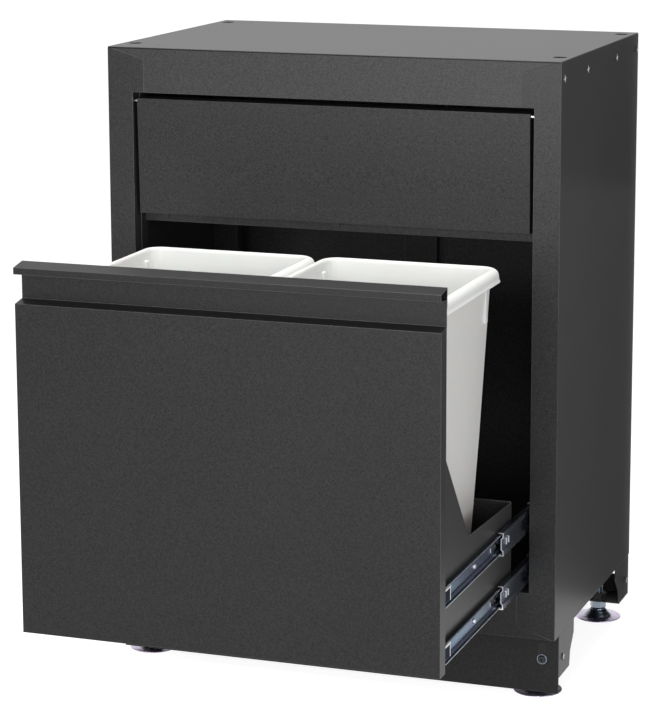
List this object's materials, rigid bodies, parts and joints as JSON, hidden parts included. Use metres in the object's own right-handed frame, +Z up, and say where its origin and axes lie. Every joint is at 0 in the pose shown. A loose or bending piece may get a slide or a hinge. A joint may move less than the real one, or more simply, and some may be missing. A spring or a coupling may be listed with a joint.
{
  "type": "pull-out bin cabinet",
  "caption": "Floor-standing steel cabinet with a top-hung flap and a pull-out front on telescopic slides that carries lift-out waste bins side by side; levelling feet below.",
  "frame": {"origin": "on the floor, midway between the left and right sides and between the pulled-out front and the back", "axes": "+X to the right seen from the front, +Y from the front into the cabinet, +Z up"},
  "size_m": [0.68, 0.8644, 0.92],
  "materials": {
    "charcoal_coat": "fine-textured matt powder coat",
    "zinc_plate": "bright zinc plating with a faint blue tint",
    "white_plastic": "smooth moulded white, low sheen",
    "black_rubber": "matt black rubber",
    "black_screw": "black oxide, satin",
    "bright_pin": "bright plated"
  },
  "bodies": {
    "cabinet": {"top_panel": "charcoal_coat", "bottom_panel": "charcoal_coat", "side_panel_left": "charcoal_coat", "side_panel_right": "charcoal_coat", "back_panel": "charcoal_coat", "back_stiffener": "charcoal_coat", "cross_rail": "charcoal_coat", "upright_front_left": "charcoal_coat", "upright_front_right": "charcoal_coat", "upright_rear_left": "charcoal_coat", "upright_rear_right": "charcoal_coat", "leg_bracket_front_left": "charcoal_coat", "leg_bracket_front_right": "charcoal_coat", "leg_bracket_rear_left": "charcoal_coat", "leg_bracket_rear_right": "charcoal_coat", "kick_plate": "charcoal_coat", "kick_plate_screws": "black_screw", "leg_screws": "zinc_plate", "cabinet_screws": "zinc_plate", "flap_pins": "bright_pin", "flap_buffers": "black_rubber", "cabinet_rail_lower_left": "zinc_plate", "cabinet_rail_lower_right": "zinc_plate", "cabinet_rail_upper_left": "zinc_plate", "cabinet_rail_upper_right": "zinc_plate"},
    "flap": {"flap_panel": "charcoal_coat"},
    "drawer": {"front_panel": "charcoal_coat", "front_inner_panel": "charcoal_coat", "tray_floor": "charcoal_coat", "tray_rear": "charcoal_coat", "tray_side_left": "charcoal_coat", "tray_side_right": "charcoal_coat", "tray_screws": "zinc_plate", "rail_buffers": "black_rubber", "drawer_rail_lower_left": "zinc_plate", "drawer_rail_lower_right": "zinc_plate", "drawer_rail_upper_left": "zinc_plate", "drawer_rail_upper_right": "zinc_plate"},
    "bin_left": {"bin_left": "white_plastic"},
    "bin_right": {"bin_right": "white_plastic"},
    "middle_rail_lower_left": {"middle_rail_lower_left": "zinc_plate"},
    "inner_cage_lower_left": {"inner_cage_lower_left": "zinc_plate"},
    "outer_cage_lower_left": {"outer_cage_lower_left": "zinc_plate"},
    "middle_rail_lower_right": {"middle_rail_lower_right": "zinc_plate"},
    "inner_cage_lower_right": {"inner_cage_lower_right": "zinc_plate"},
    "outer_cage_lower_right": {"outer_cage_lower_right": "zinc_plate"},
    "middle_rail_upper_left": {"middle_rail_upper_left": "zinc_plate"},
    "inner_cage_upper_left": {"inner_cage_upper_left": "zinc_plate"},
    "outer_cage_upper_left": {"outer_cage_upper_left": "zinc_plate"},
    "middle_rail_upper_right": {"middle_rail_upper_right": "zinc_plate"},
    "inner_cage_upper_right": {"inner_cage_upper_right": "zinc_plate"},
    "outer_cage_upper_right": {"outer_cage_upper_right": "zinc_plate"},
    "foot_front_left": {"foot_base_front_left": "zinc_plate", "foot_stud_front_left": "zinc_plate"},
    "foot_front_right": {"foot_base_front_right": "zinc_plate", "foot_stud_front_right": "zinc_plate"},
    "foot_rear_left": {"foot_base_rear_left": "zinc_plate", "foot_stud_rear_left": "zinc_plate"},
    "foot_rear_right": {"foot_base_rear_right": "zinc_plate", "foot_stud_rear_right": "zinc_plate"}
  },
  "joints": [
    {"name": "drawer_slide", "type": "slide", "parent": "cabinet", "child": "drawer", "axis": [0, -1, 0], "range_m": [-0.404, 0]},
    {"name": "flap_hinge", "type": "hinge", "parent": "cabinet", "child": "flap", "pos_m": [0, -0.01875, 0.842], "axis": [1, 0, 0], "range_deg": [-85, 0]},
    {"name": "middle_rail_lower_left_slide", "type": "slide", "parent": "cabinet", "child": "middle_rail_lower_left", "axis": [0, -1, 0], "range_m": [-0.145, 0]},
    {"name": "inner_cage_lower_left_slide", "type": "slide", "parent": "cabinet", "child": "inner_cage_lower_left", "axis": [0, -1, 0], "range_m": [-0.2745, 0]},
    {"name": "outer_cage_lower_left_slide", "type": "slide", "parent": "cabinet", "child": "outer_cage_lower_left", "axis": [0, -1, 0], "range_m": [-0.0725, 0]},
    {"name": "middle_rail_lower_right_slide", "type": "slide", "parent": "cabinet", "child": "middle_rail_lower_right", "axis": [0, -1, 0], "range_m": [-0.145, 0]},
    {"name": "inner_cage_lower_right_slide", "type": "slide", "parent": "cabinet", "child": "inner_cage_lower_right", "axis": [0, -1, 0], "range_m": [-0.2745, 0]},
    {"name": "outer_cage_lower_right_slide", "type": "slide", "parent": "cabinet", "child": "outer_cage_lower_right", "axis": [0, -1, 0], "range_m": [-0.0725, 0]},
    {"name": "middle_rail_upper_left_slide", "type": "slide", "parent": "cabinet", "child": "middle_rail_upper_left", "axis": [0, -1, 0], "range_m": [-0.145, 0]},
    {"name": "inner_cage_upper_left_slide", "type": "slide", "parent": "cabinet", "child": "inner_cage_upper_left", "axis": [0, -1, 0], "range_m": [-0.2745, 0]},
    {"name": "outer_cage_upper_left_slide", "type": "slide", "parent": "cabinet", "child": "outer_cage_upper_left", "axis": [0, -1, 0], "range_m": [-0.0725, 0]},
    {"name": "middle_rail_upper_right_slide", "type": "slide", "parent": "cabinet", "child": "middle_rail_upper_right", "axis": [0, -1, 0], "range_m": [-0.145, 0]},
    {"name": "inner_cage_upper_right_slide", "type": "slide", "parent": "cabinet", "child": "inner_cage_upper_right", "axis": [0, -1, 0], "range_m": [-0.2745, 0]},
    {"name": "outer_cage_upper_right_slide", "type": "slide", "parent": "cabinet", "child": "outer_cage_upper_right", "axis": [0, -1, 0], "range_m": [-0.0725, 0]},
    {"name": "bin_left_lift", "type": "slide", "parent": "drawer", "child": "bin_left", "axis": [0, 0, 1], "range_m": [0, 0.5]},
    {"name": "bin_right_lift", "type": "slide", "parent": "drawer", "child": "bin_right", "axis": [0, 0, 1], "range_m": [0, 0.5]},
    {"name": "foot_front_left_height", "type": "slide", "parent": "cabinet", "child": "foot_front_left", "axis": [0, 0, -1], "range_m": [0, 0.025]},
    {"name": "foot_front_right_height", "type": "slide", "parent": "cabinet", "child": "foot_front_right", "axis": [0, 0, -1], "range_m": [0, 0.025]},
    {"name": "foot_rear_left_height", "type": "slide", "parent": "cabinet", "child": "foot_rear_left", "axis": [0, 0, -1], "range_m": [0, 0.025]},
    {"name": "foot_rear_right_height", "type": "slide", "parent": "cabinet", "child": "foot_rear_right", "axis": [0, 0, -1], "range_m": [0, 0.025]}
  ],
  "couplings": [
    {"joint": "middle_rail_lower_left_slide", "follows": "drawer_slide", "ratio": 0.35891},
    {"joint": "inner_cage_lower_left_slide", "follows": "drawer_slide", "ratio": 0.67946},
    {"joint": "outer_cage_lower_left_slide", "follows": "drawer_slide", "ratio": 0.17946},
    {"joint": "middle_rail_lower_right_slide", "follows": "drawer_slide", "ratio": 0.35891},
    {"joint": "inner_cage_lower_right_slide", "follows": "drawer_slide", "ratio": 0.67946},
    {"joint": "outer_cage_lower_right_slide", "follows": "drawer_slide", "ratio": 0.17946},
    {"joint": "middle_rail_upper_left_slide", "follows": "drawer_slide", "ratio": 0.35891},
    {"joint": "inner_cage_upper_left_slide", "follows": "drawer_slide", "ratio": 0.67946},
    {"joint": "outer_cage_upper_left_slide", "follows": "drawer_slide", "ratio": 0.17946},
    {"joint": "middle_rail_upper_right_slide", "follows": "drawer_slide", "ratio": 0.35891},
    {"joint": "inner_cage_upper_right_slide", "follows": "drawer_slide", "ratio": 0.67946},
    {"joint": "outer_cage_upper_right_slide", "follows": "drawer_slide", "ratio": 0.17946}
  ]
}
